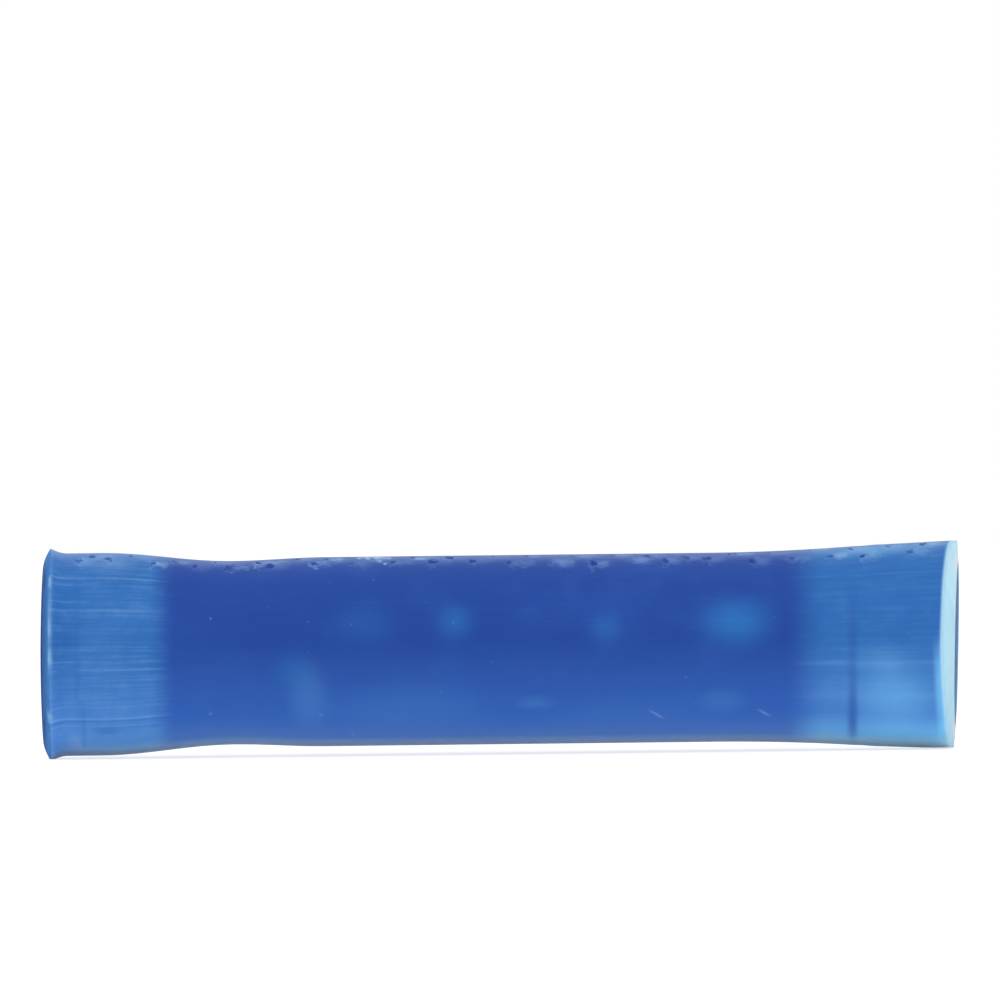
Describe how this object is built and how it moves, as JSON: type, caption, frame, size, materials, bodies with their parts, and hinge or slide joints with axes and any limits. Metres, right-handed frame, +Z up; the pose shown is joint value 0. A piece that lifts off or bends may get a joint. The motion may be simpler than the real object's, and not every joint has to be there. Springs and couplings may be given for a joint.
{
  "type": "insulated butt splice connector",
  "caption": "Crimp splice that joins two wires end to end: a tinned copper barrel with a centre stop inside a blue vinyl sleeve with belled ends.",
  "frame": {"origin": "on the crimp barrel's axis, midway along the sleeve", "axes": "+X along the barrel, from the end with the curled lip to the end with the long conical bell; +Z up as the connector lies on its side; the barrel's brazed seam is at +Y"},
  "size_m": [0.0264, 0.0062, 0.006],
  "materials": {
    "sleeve": "translucent blue vinyl, soft satin sheen",
    "barrel": "electro-tinned copper, satin"
  },
  "bodies": {
    "root": {"vinyl_sleeve": "sleeve", "crimp_barrel": "barrel"}
  },
  "joints": []
}
